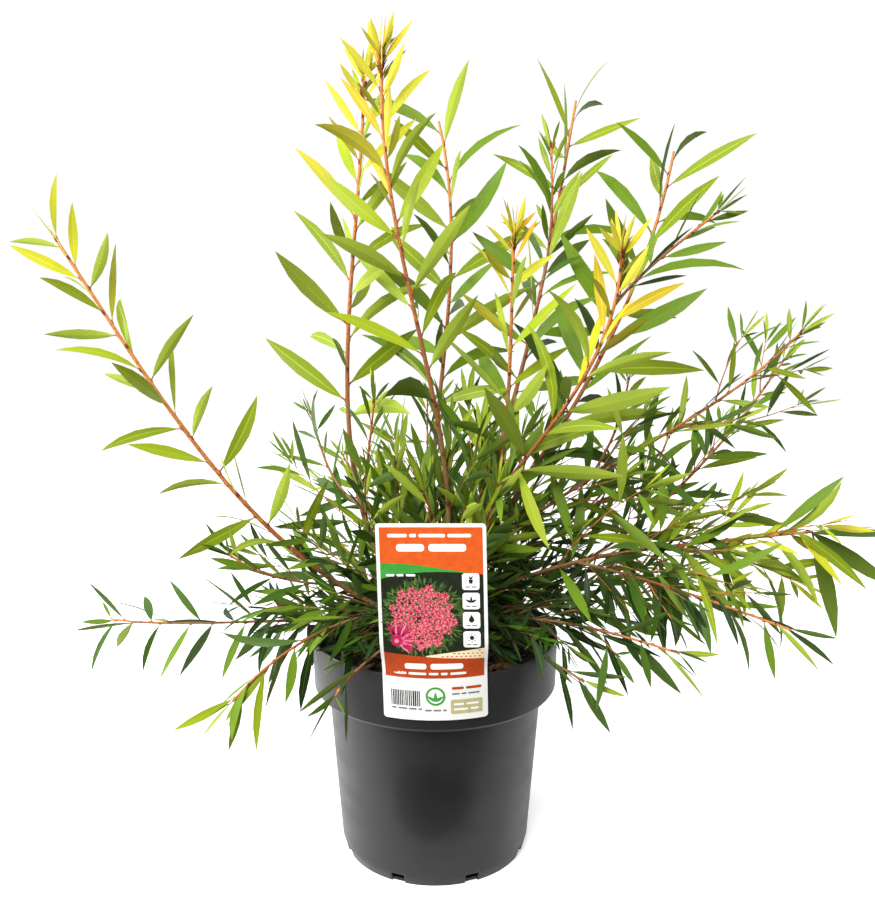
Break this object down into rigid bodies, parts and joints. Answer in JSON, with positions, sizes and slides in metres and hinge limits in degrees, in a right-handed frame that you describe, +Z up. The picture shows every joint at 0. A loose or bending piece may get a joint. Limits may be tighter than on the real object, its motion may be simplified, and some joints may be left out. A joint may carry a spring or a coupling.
{
  "type": "bottlebrush plant in a pot",
  "caption": "Young bottlebrush shrub in a round nursery pot: slender upright and spreading shoots with narrow pointed leaves, and a label card hooked over the rim.",
  "frame": {"origin": "middle of the pot's flat underside", "axes": "+Z up along the pot's axis, -Y to the front, where the label card hangs, +X to the right of it"},
  "size_m": [0.6567, 0.3806, 0.657],
  "materials": {
    "pot_plastic": "injection moulded, faint satin sheen with scuffs",
    "soil": "coarse dark bark compost",
    "label_card": "printed plastic sheet, semi-gloss",
    "clip_plastic": "moulded, satin",
    "bark": "smooth red-brown young bark with leaf scars",
    "young_leaves": "smooth lime to golden leaf, soft sheen",
    "mature_leaves": "leathery dark green leaf, soft sheen"
  },
  "bodies": {
    "root": {"bough_front_arch": "bark", "bough_front_low": "bark", "bough_gold_middle": "bark", "bough_left_droop": "bark", "bough_left_level": "bark", "bough_left_sweep": "bark", "bough_rear_left": "bark", "bough_rear_low": "bark", "bough_rear_middle": "bark", "bough_rear_right": "bark", "bough_right_back": "bark", "bough_right_front": "bark", "bough_right_high": "bark", "bough_right_inner": "bark", "bough_right_low": "bark", "bough_right_middle": "bark", "bough_rim_left": "bark", "bough_tall_back": "bark", "bough_tall_front": "bark", "bough_tall_left": "bark", "bough_tall_right": "bark", "bough_thin_middle": "bark", "foliage_arch_side": "young_leaves", "foliage_back_bud": "young_leaves", "foliage_back_spur": "mature_leaves", "foliage_front_arch": "young_leaves", "foliage_front_inner": "mature_leaves", "foliage_front_low": "mature_leaves", "foliage_gold_middle": "young_leaves", "foliage_left_droop": "mature_leaves", "foliage_left_inner": "mature_leaves", "foliage_left_level": "mature_leaves", "foliage_left_low": "mature_leaves", "foliage_left_spur": "mature_leaves", "foliage_left_sweep": "young_leaves", "foliage_middle_inner": "mature_leaves", "foliage_rear_inner": "mature_leaves", "foliage_rear_left": "mature_leaves", "foliage_rear_low": "mature_leaves", "foliage_rear_middle": "mature_leaves", "foliage_rear_right": "mature_leaves", "foliage_right_back": "mature_leaves", "foliage_right_droop": "mature_leaves", "foliage_right_front": "mature_leaves", "foliage_right_high": "mature_leaves", "foliage_right_inner": "mature_leaves", "foliage_right_low": "mature_leaves", "foliage_right_middle": "mature_leaves", "foliage_right_spur": "mature_leaves", "foliage_rim_left": "mature_leaves", "foliage_tall_back": "young_leaves", "foliage_tall_front": "young_leaves", "foliage_tall_left": "young_leaves", "foliage_tall_right": "young_leaves", "foliage_thin_middle": "young_leaves", "label_card": "label_card", "pot": "pot_plastic", "rim_clip": "clip_plastic", "soil": "soil", "trunk": "bark"}
  },
  "joints": []
}
